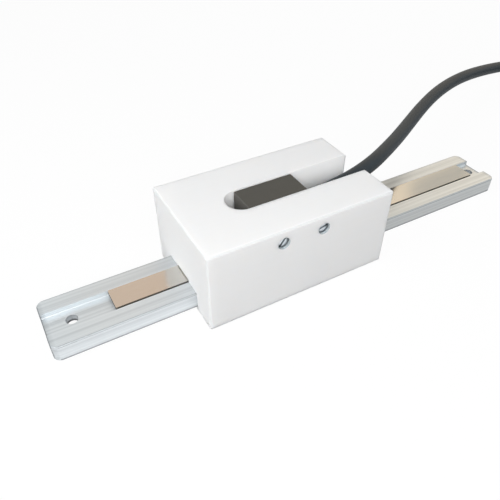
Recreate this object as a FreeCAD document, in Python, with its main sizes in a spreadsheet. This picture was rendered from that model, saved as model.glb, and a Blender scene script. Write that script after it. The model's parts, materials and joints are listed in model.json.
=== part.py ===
import FreeCAD, Part
import math
import os

import Sketcher

# Magnetic linear encoder: a white plastic carriage slides along an aluminium rail and
# carries a sensor head over a magnetic tape. +X runs along the rail, +Z is up, and the
# origin is under the middle of the rail, on the surface that the rail is screwed to.
# All sizes are in millimetres.

SIZES = [
    ("rail_length", 214, "guide rail from end to end"),
    ("rail_height", 9, "top of the rail's lips"),
    ("lip_width", 7.125, "lips on both sides of the channel"),
    ("flange_overhang", 4.5, "flange beyond the foot, which the carriage grips"),
    ("foot_height", 2.2, "underside of the flange"),
    ("foot_wall", 2, "each of the rail's two feet"),
    ("rail_web", 3, "channel's floor over the hollow between the feet"),
    ("channel_depth", 2.2, "lips above the channel's floor"),
    ("channel_fillet", 1, "hollow at the foot of the channel's walls"),
    ("rail_corner", 3, "plan radius of the rail's ends"),
    ("rail_edge", 0.5, "softened outer edges of the lips"),
    ("hole_diameter", 4.5, "screw holes in the rail"),
    ("left_hole_inset", 10, "left screw hole's axis from the rail's left end"),
    ("right_hole_inset", 4.5, "right screw hole's axis from the rail's right end"),
    ("tape_width", 10, "magnetic tape, the photo's scale cue"),
    ("left_tape_inset", 25.4, "bare rail at the left end of the tape"),
    ("right_tape_inset", 8.2, "bare rail at the right end of the tape"),
    ("tape_side_gap", 0.7, "between the tape and the channel's near wall"),
    ("tape_far_gap", 0.05, "between the tape and the channel's far wall"),
    ("carrier_step", 0.5, "steel carrier inside the magnetic band's edges, clear of the hollows"),
    ("tape_adhesive_thick", 0.15, "adhesive under the tape"),
    ("tape_carrier_thick", 0.35, "steel carrier band"),
    ("magnetic_band_thick", 1.45, "magnetised rubber"),
    ("cover_adhesive_thick", 0.1, "adhesive under the cover strip"),
    ("cover_strip_thick", 0.3, "steel cover strip"),
    ("carriage_length", 80, "carriage along the rail"),
    ("carriage_width", 48, "carriage across the rail"),
    ("carriage_height", 35, "carriage from underside to top"),
    ("carriage_lift", 0.4, "carriage's underside above the mounting surface"),
    ("carriage_from_end", 54, "carriage's left face from the rail's left end"),
    ("carriage_edge", 0.7, "softened outer edges of the carriage"),
    ("slide_clearance", 0.15, "between carriage and rail"),
    ("foot_clearance", 0.5, "between the carriage's hooks and the rail's foot"),
    ("tape_clearance", 1.05, "between the carriage's roof and the tape"),
    ("web_thick", 1.2, "floor of the slot over the tape"),
    ("slot_play", 0.6, "between the sensor head and the slot's near wall"),
    ("slot_from_end", 19.8, "closed end of the slot from the carriage's left face"),
    ("screw_diameter", 5, "tapped holes for the set screws"),
    ("screw_clearance", 0.05, "radial play of the set screws"),
    ("screw_inset", 4.3, "set screws from the ends of the sensor head"),
    ("screw_drop", 5.9, "set screws below the carriage's top"),
    ("screw_recess", 1.2, "set screws below the carriage's near face"),
    ("driver_slot_width", 0.9, "set screw's slot for a screwdriver"),
    ("driver_slot_depth", 1.6, "set screw's slot for a screwdriver"),
    ("sensor_length", 26, "sensor head along the rail"),
    ("sensor_width", 12.4, "sensor head across the rail"),
    ("sensor_height", 23.6, "sensor head from sensing face to top"),
    ("sensor_wall", 1.2, "walls and top of the housing"),
    ("sensor_edge", 0.5, "softened outer edges of the housing"),
    ("base_plate_thick", 0.5, "plate that closes the housing"),
    ("inner_gap", 0.1, "play of the pieces inside the housing"),
    ("board_thick", 1, "circuit board, which stands on the base plate"),
    ("board_headroom", 3.9, "above the circuit board"),
    ("cable_room", 5, "between the circuit board and the housing's cable end"),
    ("sensing_chip_size", 4, "sensing chip, square"),
    ("interpolator_chip_size", 6, "interpolator chip, square"),
    ("chip_thick", 1.2, "both chips"),
    ("chip_drop", 1, "sensing chip above the board's lower edge"),
    ("capacitor_length", 1.6, "board capacitor"),
    ("capacitor_section", 0.8, "board capacitor's width and height"),
    ("capacitor_pitch", 2.6, "between board capacitors"),
    ("cable_diameter", 6.7, "sensor cable"),
    ("cable_drop", 10, "cable's axis below the sensor head's top"),
    ("cable_entry", 2, "cable's end inside the housing's wall"),
    ("cable_play", 0.06, "radial play of the seal and the strain relief on the cable"),
    ("core_diameter", 0.9, "insulated cable core"),
    ("core_length", 5, "cable core from the cable's end to its pad"),
    ("core_pitch", 1.3, "between cable cores on one side of the board"),
    ("seal_wall", 1.2, "seal between the cable and its hole"),
    ("relief_length", 5.5, "strain relief"),
    ("relief_root_wall", 0.7, "strain relief at the housing"),
    ("relief_tip_wall", 0.4, "strain relief at its tip"),
    ("coil_x", 287, "axis of the put-away coil"),
    ("coil_y", 41, "axis of the put-away coil"),
    ("coil_radius", 34, "middle of the coil's turns"),
    ("tie_thick", 0.8, "strap round the coil"),
    ("tie_width", 5, "strap round the coil"),
    ("tie_gap", 0.25, "strap to coil"),
    ("tail_length", 30, "cable between the coil and the connector"),
    ("shell_back_wall", 1.4, "connector shell where the cable enters"),
    ("shell_shoulder", 1.4, "connector shell's grip beyond its nose"),
    ("shell_taper", 10, "connector shell's tapered back"),
    ("shell_grip", 16, "connector shell's grip"),
    ("shell_bore_depth", 6, "cable in the connector shell"),
    ("nose_radius", 4.8, "connector's nose, on which the nut turns"),
    ("nose_length", 12, "connector's nose"),
    ("nut_wall", 2.24, "coupling nut's wall at its grip"),
    ("nut_grip", 9.5, "length of the coupling nut's grip"),
    ("thread_wall", 1.14, "coupling nut's wall at its threaded end"),
    ("nut_play", 0.06, "radial play of the nut on the nose"),
    ("nut_gap", 0.3, "nut to the shell's shoulder"),
    ("insert_step", 0.6, "contact insert inside the nose's radius"),
    ("insert_thick", 2, "contact insert"),
    ("pin_diameter", 1, "contact pin"),
    ("pin_length", 4.5, "contact pin above the insert"),
    ("pin_guard", 1.3, "coupling nut beyond the contact pins"),
    ("pin_circle", 2.4, "radius of the ring of contact pins"),
]

SCREW_TURNS = (55, 13)  # degrees that the set screws' slots stand from the rail's direction
CAPACITOR_COUNT = 4
CORES_PER_SIDE = 2
PIN_COUNT = 4

# Route of the cable from the slot's mouth, in a low arch over the rail, down to the coil.
CABLE_ROUTE = [
    (27.5, 1.5, 27.6),
    (42.0, 5.3, 28.0),
    (58.0, 13.8, 26.0),
    (73.0, 22.4, 24.4),
    (89.0, 31.9, 23.4),
    (107.0, 42.3, 22.8),
    (127.0, 52.5, 22.0),
    (149.0, 61.7, 20.4),
    (172.0, 69.0, 17.8),
    (195.0, 74.5, 14.4),
    (218.0, 78.4, 10.8),
    (241.0, 80.7, 7.4),
    (263.0, 81.7, 5.0),
]

doc = FreeCAD.newDocument("linear_encoder")
sheet = doc.addObject("Spreadsheet::Sheet", "sizes")
for row, (alias, size, note) in enumerate(SIZES, 1):
    sheet.set(f"A{row}", alias)
    sheet.set(f"B{row}", str(size))
    sheet.setAlias(f"B{row}", alias)
    sheet.set(f"C{row}", note)
doc.recompute()

parts = []


# Helpers

def value(expression):
    """Number that an expression on the sheet gives."""
    return float(sheet.evalExpression(expression))


def keep(feature):
    """Mark a document object as a finished sub-part; its Label names its file."""
    parts.append(feature)
    return feature


def place(feature, x, y, z):
    """Tie a feature's position to the sheet."""
    for axis, expression in zip("xyz", (x, y, z)):
        feature.setExpression(f"Placement.Base.{axis}", expression)


def box(name, size, corner):
    feature = doc.addObject("Part::Box", name)
    for side, expression in zip(("Length", "Width", "Height"), size):
        feature.setExpression(side, expression)
    place(feature, *corner)
    return feature


def turn_to(feature, direction):
    """Point a round feature's axis along a direction."""
    up = FreeCAD.Vector(0, 0, 1)
    turn = FreeCAD.Rotation(up, FreeCAD.Vector(*direction))
    feature.Placement = FreeCAD.Placement(FreeCAD.Vector(), turn)


def cylinder(name, radius, length, start, direction=(0, 0, 1)):
    feature = doc.addObject("Part::Cylinder", name)
    turn_to(feature, direction)
    feature.setExpression("Radius", radius)
    feature.setExpression("Height", length)
    place(feature, *start)
    return feature


def cone(name, start_radius, end_radius, length, start, direction):
    feature = doc.addObject("Part::Cone", name)
    turn_to(feature, direction)
    feature.setExpression("Radius1", start_radius)
    feature.setExpression("Radius2", end_radius)
    feature.setExpression("Height", length)
    place(feature, *start)
    return feature


def cut(name, base, tool):
    feature = doc.addObject("Part::Cut", name)
    feature.Base = base
    feature.Tool = tool
    return feature


def fuse(name, shapes):
    feature = doc.addObject("Part::MultiFuse", name)
    feature.Shapes = shapes
    return feature


def group(name, members):
    """Separate like solids that share one node."""
    feature = doc.addObject("Part::Compound", name)
    feature.Links = members
    return feature


def sketch_on(body, name, role, lift=None):
    """Empty sketch on one of the body's own planes, lifted along the plane's normal."""
    sketch = body.newObject("Sketcher::SketchObject", name)
    plane = next(item for item in body.Origin.OriginFeatures if item.Role == role)
    sketch.AttachmentSupport = (plane, [""])
    sketch.MapMode = "FlatFace"
    if lift:
        sketch.setExpression("AttachmentOffset.Base.z", lift)
    return sketch


def fix_point(sketch, geometry, point, across, up):
    """Hold one point of a sketch at distances from its origin."""
    for kind, expression in (("DistanceX", across), ("DistanceY", up)):
        number = value(expression)
        constraint = sketch.addConstraint(
            Sketcher.Constraint(kind, -1, 1, geometry, point, number))
        sketch.setExpression(f"Constraints[{constraint}]", expression)


def outline(sketch, corners):
    """Closed outline through corners, each held by its own two distances."""
    spots = [FreeCAD.Vector(value(across), value(up), 0) for across, up in corners]
    for index, spot in enumerate(spots):
        following = spots[(index + 1) % len(spots)]
        sketch.addGeometry(Part.LineSegment(spot, following))
    for index, (across, up) in enumerate(corners):
        following = (index + 1) % len(corners)
        sketch.addConstraint(Sketcher.Constraint("Coincident", index, 2, following, 1))
        fix_point(sketch, index, 1, across, up)
    return sketch


def circle(sketch, across, up, diameter):
    spot = FreeCAD.Vector(value(across), value(up), 0)
    normal = FreeCAD.Vector(0, 0, 1)
    index = sketch.addGeometry(Part.Circle(spot, normal, value(diameter) / 2))
    fix_point(sketch, index, 3, across, up)
    constraint = sketch.addConstraint(
        Sketcher.Constraint("Diameter", index, value(diameter)))
    sketch.setExpression(f"Constraints[{constraint}]", diameter)
    return sketch


def pad(body, name, sketch, length):
    feature = body.newObject("PartDesign::Pad", name)
    feature.Profile = sketch
    feature.setExpression("Length", length)
    doc.recompute()
    return feature


def pocket(body, name, sketch, depth, upward=False):
    """Cut against the sketch's normal, or along it, and check that it removed material."""
    before = body.Shape.Volume
    feature = body.newObject("PartDesign::Pocket", name)
    feature.Profile = sketch
    feature.Reversed = upward
    feature.setExpression("Length", depth)
    doc.recompute()
    if body.Shape.Volume >= before:
        raise RuntimeError(f"{name} removed nothing")
    return feature


def round_edges(body, name, radius, wanted):
    """Fillet every edge of the body that the test picks."""
    base = body.Tip
    picked = [f"Edge{number}" for number, edge in enumerate(base.Shape.Edges, 1) if wanted(edge)]
    if not picked:
        raise RuntimeError(f"{name} has no edge to round")
    feature = body.newObject("PartDesign::Fillet", name)
    feature.Base = (base, picked)
    feature.setExpression("Radius", radius)
    doc.recompute()
    return feature


def near(number, target):
    return abs(number - target) < 1e-4


def spans(edge, axis, low, high):
    """True where an edge keeps to one value, low or high, along an axis."""
    ends = [vertex.Point[axis] for vertex in edge.Vertexes]
    return all(near(end, low) for end in ends) or all(near(end, high) for end in ends)


# Places that several pieces share, as expressions on the sheet

CHANNEL_WIDTH = "(sizes.tape_width + sizes.tape_side_gap + sizes.tape_far_gap)"
CHANNEL_FLOOR = "(sizes.rail_height - sizes.channel_depth)"
RAIL_WIDTH = f"({CHANNEL_WIDTH} + 2 * sizes.lip_width)"
RAIL_END = "(sizes.rail_length / 2)"
FOOT_WIDTH = f"({RAIL_WIDTH} - 2 * sizes.flange_overhang)"
TAPE_LAYERS = ["tape_adhesive", "tape_carrier", "magnetic_band", "cover_adhesive", "cover_strip"]
TAPE_SIDE = f"(sizes.tape_side_gap - {CHANNEL_WIDTH} / 2)"
TAPE_TOP = CHANNEL_FLOOR + "".join(f" + sizes.{layer}_thick" for layer in TAPE_LAYERS)
ROOF = f"({TAPE_TOP} + sizes.tape_clearance)"
CARRIAGE_X = f"(sizes.carriage_from_end - {RAIL_END})"
CARRIAGE_TOP = "(sizes.carriage_lift + sizes.carriage_height)"
SLOT_WIDTH = "(sizes.sensor_width + sizes.slot_play)"
SLOT_BEND = f"(sizes.slot_from_end + {SLOT_WIDTH} / 2)"
SENSOR_X = f"({CARRIAGE_X} + {SLOT_BEND})"
SENSOR_END = f"({SENSOR_X} + sizes.sensor_length)"
SENSOR_NEAR = f"({SLOT_WIDTH} / 2 - sizes.sensor_width)"
SENSOR_MIDDLE = f"({SLOT_WIDTH} / 2 - sizes.sensor_width / 2)"
SENSOR_Z = f"({ROOF} + sizes.web_thick)"
SCREW_PLACES = [
    f"({SLOT_BEND} + sizes.screw_inset)",
    f"({SLOT_BEND} + sizes.sensor_length - sizes.screw_inset)",
]
CABLE_RADIUS = "(sizes.cable_diameter / 2)"
CABLE_RISE = "(sizes.sensor_height - sizes.cable_drop)"
CABLE_Z = f"({SENSOR_Z} + {CABLE_RISE})"
SEAL_DIAMETER = "(sizes.cable_diameter + 2 * sizes.seal_wall)"


# Guide rail

def make_guide_rail():
    body = keep(doc.addObject("PartDesign::Body", "guide_rail"))
    half = [
        (f"({FOOT_WIDTH} / 2 - sizes.foot_wall)", f"({CHANNEL_FLOOR} - sizes.rail_web)"),
        (f"({FOOT_WIDTH} / 2 - sizes.foot_wall)", "0"),
        (f"{FOOT_WIDTH} / 2", "0"),
        (f"{FOOT_WIDTH} / 2", "sizes.foot_height"),
        (f"{RAIL_WIDTH} / 2", "sizes.foot_height"),
        (f"{RAIL_WIDTH} / 2", "sizes.rail_height"),
        (f"{CHANNEL_WIDTH} / 2", "sizes.rail_height"),
        (f"{CHANNEL_WIDTH} / 2", CHANNEL_FLOOR),
    ]
    other = [(f"-{across}", up) for across, up in reversed(half)]
    section = sketch_on(body, "rail_section", "YZ_Plane", f"-{RAIL_END}")
    pad(body, "rail_extrusion", outline(section, half + other), "sizes.rail_length")

    holes = sketch_on(body, "rail_hole_centres", "XY_Plane", "sizes.rail_height")
    for along in (f"sizes.left_hole_inset - {RAIL_END}", f"{RAIL_END} - sizes.right_hole_inset"):
        circle(holes, along, "0", "sizes.hole_diameter")
    pocket(body, "rail_holes", holes, "sizes.rail_height")

    end = value(RAIL_END)
    side = value(f"{RAIL_WIDTH} / 2")
    wall = value(f"{CHANNEL_WIDTH} / 2")
    floor = value(CHANNEL_FLOOR)
    top = value("sizes.rail_height")
    round_edges(body, "rail_ends", "sizes.rail_corner",
                lambda edge: spans(edge, 0, -end, end) and spans(edge, 1, -side, side))
    hollow = "min(sizes.channel_fillet; 0.8 * sizes.channel_depth; 0.8 * sizes.tape_side_gap)"
    round_edges(body, "channel_hollows", hollow,
                lambda edge: spans(edge, 1, -wall, wall) and spans(edge, 2, floor, floor))
    round_edges(body, "lip_edges", "sizes.rail_edge",
                lambda edge: spans(edge, 2, top, top) and spans(edge, 1, -side, side))


# Magnetic tape, layer by layer

def make_tape():
    start = f"(sizes.left_tape_inset - {RAIL_END})"
    length = "(sizes.rail_length - sizes.left_tape_inset - sizes.right_tape_inset)"
    level = CHANNEL_FLOOR
    for layer in TAPE_LAYERS:
        thick = f"sizes.{layer}_thick"
        step = "sizes.carrier_step" if layer in ("tape_adhesive", "tape_carrier") else "0"
        keep(box(layer, (length, f"sizes.tape_width - 2 * {step}", thick),
                 (start, f"{TAPE_SIDE} + {step}", level)))
        level = f"{level} + {thick}"


# Guide carriage, wrapped round the rail's flange

def make_guide_carriage():
    body = keep(doc.addObject("PartDesign::Body", "guide_carriage"))
    place(body, CARRIAGE_X, "0", "sizes.carriage_lift")
    neck = f"({FOOT_WIDTH} / 2 + sizes.foot_clearance)"
    hook = "(sizes.foot_height - sizes.slide_clearance - sizes.carriage_lift)"
    cheek = f"({RAIL_WIDTH} / 2 + sizes.slide_clearance)"
    shoulder = "(sizes.rail_height + sizes.slide_clearance - sizes.carriage_lift)"
    recess = f"({CHANNEL_WIDTH} / 2)"
    roof = f"({ROOF} - sizes.carriage_lift)"
    half = [
        ("sizes.carriage_width / 2", "sizes.carriage_height"),
        ("sizes.carriage_width / 2", "0"),
        (neck, "0"),
        (neck, hook),
        (cheek, hook),
        (cheek, shoulder),
        (recess, shoulder),
        (recess, roof),
    ]
    other = [(f"-{across}", up) for across, up in reversed(half)]
    profile = outline(sketch_on(body, "carriage_section", "YZ_Plane"), half + other)
    pad(body, "carriage_block", profile, "sizes.carriage_length")

    depth = f"(sizes.carriage_height - {roof} - sizes.web_thick)"
    near_wall, far_wall = f"-{SLOT_WIDTH} / 2", f"{SLOT_WIDTH} / 2"
    straight = [
        (SLOT_BEND, near_wall),
        ("sizes.carriage_length", near_wall),
        ("sizes.carriage_length", far_wall),
        (SLOT_BEND, far_wall),
    ]
    run = outline(sketch_on(body, "slot_run", "XY_Plane", "sizes.carriage_height"), straight)
    pocket(body, "slot", run, depth)
    end = sketch_on(body, "slot_bend", "XY_Plane", "sizes.carriage_height")
    circle(end, SLOT_BEND, "0", SLOT_WIDTH)
    pocket(body, "slot_end", end, depth)

    holes = sketch_on(body, "set_screw_centres", "XZ_Plane", "sizes.carriage_width / 2")
    for along in SCREW_PLACES:
        circle(holes, along, "(sizes.carriage_height - sizes.screw_drop)", "sizes.screw_diameter")
    pocket(body, "set_screw_holes", holes, f"sizes.carriage_width / 2 - {SLOT_WIDTH} / 4")

    long = value("sizes.carriage_length")
    side = value("sizes.carriage_width / 2")
    top = value("sizes.carriage_height")

    def outer(edge):
        on_ends = spans(edge, 0, 0, long)
        on_sides = spans(edge, 1, -side, side)
        on_top = spans(edge, 2, top, top)
        return (on_ends and on_sides) or (on_sides and on_top) or (on_ends and on_top)

    round_edges(body, "carriage_edges", "sizes.carriage_edge", outer)


# Set screws that clamp the sensor head against the far wall of the slot

def make_set_screws():
    screws = []
    length = f"(sizes.carriage_width / 2 - sizes.screw_recess + {SENSOR_NEAR})"
    level = f"({CARRIAGE_TOP} - sizes.screw_drop)"
    for step, along_carriage in enumerate(SCREW_PLACES):
        along = f"({CARRIAGE_X} + {along_carriage})"
        shank = cylinder(f"screw_shank_{step}", "sizes.screw_diameter / 2 - sizes.screw_clearance",
                         length, (along, SENSOR_NEAR, level), (0, -1, 0))
        turn = f"{SCREW_TURNS[step]} deg"
        long, wide = "sizes.screw_diameter", "sizes.driver_slot_width"
        slot = box(f"driver_slot_{step}", (long, "sizes.driver_slot_depth", wide),
                   (f"{along} - {long} / 2 * cos({turn}) + {wide} / 2 * sin({turn})",
                    "sizes.screw_recess - sizes.carriage_width / 2",
                    f"{level} - {long} / 2 * sin({turn}) - {wide} / 2 * cos({turn})"))
        towards_driver = FreeCAD.Vector(0, -1, 0)
        slot.Placement = FreeCAD.Placement(
            FreeCAD.Vector(), FreeCAD.Rotation(towards_driver, SCREW_TURNS[step]))
        screws.append(cut(f"set_screw_{step}", shank, slot))
    keep(group("sensor_set_screws", screws))


# Sensor head

def make_sensor_housing():
    body = keep(doc.addObject("PartDesign::Body", "sensor_housing"))
    place(body, SENSOR_X, SENSOR_NEAR, SENSOR_Z)
    long, wide, wall = "sizes.sensor_length", "sizes.sensor_width", "sizes.sensor_wall"
    outer = [("0", "0"), (long, "0"), (long, wide), ("0", wide)]
    pad(body, "housing_block", outline(sketch_on(body, "housing_plan", "XY_Plane"), outer),
        "sizes.sensor_height")
    inner = [
        (wall, wall),
        (f"({long} - {wall})", wall),
        (f"({long} - {wall})", f"({wide} - {wall})"),
        (wall, f"({wide} - {wall})"),
    ]
    pocket(body, "housing_cavity", outline(sketch_on(body, "cavity_plan", "XY_Plane"), inner),
           f"sizes.sensor_height - {wall}", upward=True)
    entry = sketch_on(body, "cable_hole_centre", "YZ_Plane", long)
    circle(entry, f"({wide} / 2)", CABLE_RISE, SEAL_DIAMETER)
    pocket(body, "cable_hole", entry, f"1.5 * {wall}")
    end = value(long)
    side = value(wide)
    top = value("sizes.sensor_height")

    def outer_edge(edge):
        on_ends = spans(edge, 0, 0, end)
        on_sides = spans(edge, 1, 0, side)
        on_top = spans(edge, 2, top, top)
        return (on_ends and on_sides) or (on_sides and on_top) or (on_ends and on_top)

    round_edges(body, "housing_edges", f"min(sizes.sensor_edge; 0.8 * {wall})", outer_edge)


INNER_X = f"({SENSOR_X} + sizes.sensor_wall + sizes.inner_gap)"
INNER_Y = f"({SENSOR_NEAR} + sizes.sensor_wall + sizes.inner_gap)"
INNER_LENGTH = "(sizes.sensor_length - 2 * sizes.sensor_wall - 2 * sizes.inner_gap)"
INNER_WIDTH = "(sizes.sensor_width - 2 * sizes.sensor_wall - 2 * sizes.inner_gap)"
BOARD_Z = f"({SENSOR_Z} + sizes.base_plate_thick)"
BOARD_NEAR = f"({SENSOR_MIDDLE} - sizes.board_thick / 2)"
BOARD_FAR = f"({SENSOR_MIDDLE} + sizes.board_thick / 2)"
BOARD_LENGTH = f"({INNER_LENGTH} - sizes.cable_room)"
INNER_HEIGHT = "(sizes.sensor_height - sizes.sensor_wall - sizes.base_plate_thick)"
BOARD_HEIGHT = f"({INNER_HEIGHT} - sizes.board_headroom)"
CABLE_END = f"({SENSOR_END} - sizes.sensor_wall - sizes.cable_entry)"


def make_electronics():
    keep(box("base_plate", (INNER_LENGTH, INNER_WIDTH, "sizes.base_plate_thick"),
             (INNER_X, INNER_Y, SENSOR_Z)))
    board = keep(box("circuit_board", (BOARD_LENGTH, "sizes.board_thick", BOARD_HEIGHT),
                     (INNER_X, BOARD_NEAR, BOARD_Z)))

    middle = f"({INNER_X} + {BOARD_LENGTH} / 2)"
    small = "sizes.sensing_chip_size"
    sensing = keep(box("sensing_chip", (small, "sizes.chip_thick", small),
                       (f"{middle} - {small} / 2", f"{BOARD_NEAR} - sizes.chip_thick",
                        f"{BOARD_Z} + sizes.chip_drop")))
    large = "sizes.interpolator_chip_size"
    interpolator = keep(box("interpolator_chip", (large, "sizes.chip_thick", large),
                            (f"{middle} - {large} / 2", BOARD_FAR,
                             f"{BOARD_Z} + {BOARD_HEIGHT} / 2 - {large} / 2")))

    section = "sizes.capacitor_section"
    row_start = f"({middle} - {(CAPACITOR_COUNT - 1) / 2} * sizes.capacitor_pitch)"
    capacitors = [
        box(f"capacitor_{step}", ("sizes.capacitor_length", section, section),
            (f"{row_start} + {step} * sizes.capacitor_pitch - sizes.capacitor_length / 2",
             f"{BOARD_NEAR} - {section}", f"{BOARD_Z} + {BOARD_HEIGHT} / 2 - {section} / 2"))
        for step in range(CAPACITOR_COUNT)
    ]
    chips = keep(group("board_capacitors", capacitors))

    cores = []
    for side, face, sign in (("near", BOARD_NEAR, "-"), ("far", BOARD_FAR, "+")):
        across = f"{face} {sign} (sizes.core_diameter / 2 + sizes.inner_gap / 2)"
        for step in range(CORES_PER_SIDE):
            offset = step - (CORES_PER_SIDE - 1) / 2
            cores.append(cylinder(f"{side}_core_{step}", "sizes.core_diameter / 2",
                                  "sizes.core_length",
                                  (CABLE_END, across, f"{CABLE_Z} + {offset} * sizes.core_pitch"),
                                  (-1, 0, 0)))
    keep(group("cable_cores", cores))

    fill = box("potting_block", (INNER_LENGTH, INNER_WIDTH, f"{INNER_HEIGHT} - sizes.inner_gap"),
               (INNER_X, INNER_Y, BOARD_Z))
    reach = "(sizes.cable_diameter + 2 * sizes.inner_gap)"
    room_start = f"({CABLE_END} - sizes.core_length - sizes.inner_gap)"
    room = box("core_room", (f"{SENSOR_END} - {room_start}", reach, reach),
               (room_start, f"{SENSOR_MIDDLE} - {reach} / 2", f"{CABLE_Z} - {reach} / 2"))
    keep(cut("potting_compound", fill,
             fuse("potted_pieces", [board, sensing, interpolator, chips, room])))


# Cable exit

def make_cable_exit():
    bore = f"({CABLE_RADIUS} + sizes.cable_play)"
    wall = "sizes.sensor_wall"
    start = (f"({SENSOR_END} - {wall})", SENSOR_MIDDLE, CABLE_Z)
    ring = cylinder("seal_ring", f"{SEAL_DIAMETER} / 2 - sizes.cable_play", wall, start, (1, 0, 0))
    keep(cut("cable_seal", ring, cylinder("seal_bore", bore, wall, start, (1, 0, 0))))

    mouth = (SENSOR_END, SENSOR_MIDDLE, CABLE_Z)
    sleeve = cone("relief_sleeve", f"{CABLE_RADIUS} + sizes.relief_root_wall",
                  f"{CABLE_RADIUS} + sizes.relief_tip_wall", "sizes.relief_length", mouth, (1, 0, 0))
    keep(cut("strain_relief", sleeve,
             cylinder("relief_bore", bore, "sizes.relief_length", mouth, (1, 0, 0))))


# Cable

ARC_SHARE = 0.45


def cable_tube(name, points):
    """Round tube along straight runs joined by arcs as large as the runs allow."""
    radius = value(CABLE_RADIUS)
    spots = [FreeCAD.Vector(*point) for point in points]
    edges = []
    start = spots[0]
    for before, corner, after in zip(spots, spots[1:], spots[2:]):
        arriving = (corner - before).normalize()
        leaving = (after - corner).normalize()
        turn = arriving.getAngle(leaving)
        setback = ARC_SHARE * min((corner - before).Length, (after - corner).Length)
        bend = setback / math.tan(turn / 2)
        print(f"{name}: turn {math.degrees(turn):.1f} degrees, radius {bend:.0f} mm")
        first = corner - arriving * setback
        last = corner + leaving * setback
        inward = (leaving - arriving).normalize()
        middle = corner + inward * (bend / math.cos(turn / 2) - bend)
        edges.append(Part.LineSegment(start, first).toShape())
        edges.append(Part.Arc(first, middle, last).toShape())
        start = last
    edges.append(Part.LineSegment(start, spots[-1]).toShape())
    path = Part.Wire(edges)
    section = Part.Wire(Part.makeCircle(radius, spots[0], spots[1] - spots[0]))
    shape = path.makePipeShell([section], True, False)
    ratio = shape.Volume / (math.pi * radius ** 2 * path.Length)
    print(f"{name}: length {path.Length:.0f} mm, volume over section times length {ratio:.4f}")
    feature = doc.addObject("Part::Feature", name)
    feature.Shape = shape
    return keep(feature)


LAYER = f"(sizes.tie_thick + {CABLE_RADIUS})"
OUTER_TURN = "(sizes.coil_radius + sizes.cable_diameter)"
TAIL_X = f"(sizes.coil_x + {OUTER_TURN})"
CONNECTOR_Y = "(sizes.coil_y - sizes.tail_length)"
NUT_BORE = "(sizes.nose_radius + sizes.nut_play)"
NUT_RADIUS = f"({NUT_BORE} + sizes.nut_wall)"


def make_cable():
    axis_y = value(SENSOR_MIDDLE)
    axis_z = value(CABLE_Z)
    start_x = value(CABLE_END)
    straight = value(f"{SENSOR_END} + sizes.relief_length") - start_x
    inside = (start_x, axis_y, axis_z)
    straight_end = (start_x + straight / (1 - ARC_SHARE), axis_y, axis_z)
    into_coil = (value("sizes.coil_x"), value(f"sizes.coil_y + {OUTER_TURN}"), value(LAYER))
    cable_tube("sensor_cable", [inside, straight_end] + CABLE_ROUTE + [into_coil])

    coil_centre = ("sizes.coil_x", "sizes.coil_y", "sizes.tie_thick")
    height = "2 * sizes.cable_diameter"
    outer = cylinder("coil_outside", "sizes.coil_radius + 1.5 * sizes.cable_diameter", height,
                     coil_centre)
    inner = cylinder("coil_inside", "sizes.coil_radius - 1.5 * sizes.cable_diameter", height,
                     coil_centre)
    keep(cut("cable_coil", outer, inner))

    width = "(3 * sizes.cable_diameter + 2 * sizes.tie_gap)"
    tall = "(2 * sizes.cable_diameter + sizes.tie_gap)"
    near_side = f"(sizes.coil_y - sizes.coil_radius - {width} / 2)"
    across = "(sizes.coil_x - sizes.tie_width / 2)"
    strap = box("tie_outside",
                ("sizes.tie_width", f"{width} + 2 * sizes.tie_thick", f"{tall} + 2 * sizes.tie_thick"),
                (across, f"{near_side} - sizes.tie_thick", "0"))
    window = box("tie_inside", ("sizes.tie_width", width, tall),
                 (across, near_side, "sizes.tie_thick"))
    keep(cut("coil_tie", strap, window))

    tail_x = value(TAIL_X)
    top_layer = value(f"{LAYER} + sizes.cable_diameter")
    axis = value(NUT_RADIUS)
    coil_y = value("sizes.coil_y")
    tail = value("sizes.tail_length")
    shell_end = value(f"{CONNECTOR_Y} - sizes.shell_bore_depth")
    cable_tube("cable_tail", [
        (tail_x, coil_y, top_layer),
        (tail_x, coil_y - 0.3 * tail, top_layer - 0.1 * (top_layer - axis)),
        (tail_x, coil_y - 0.7 * tail, axis),
        (tail_x, shell_end, axis),
    ])


# Connector, lying on the floor beside the coil with its contacts towards -Y

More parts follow.
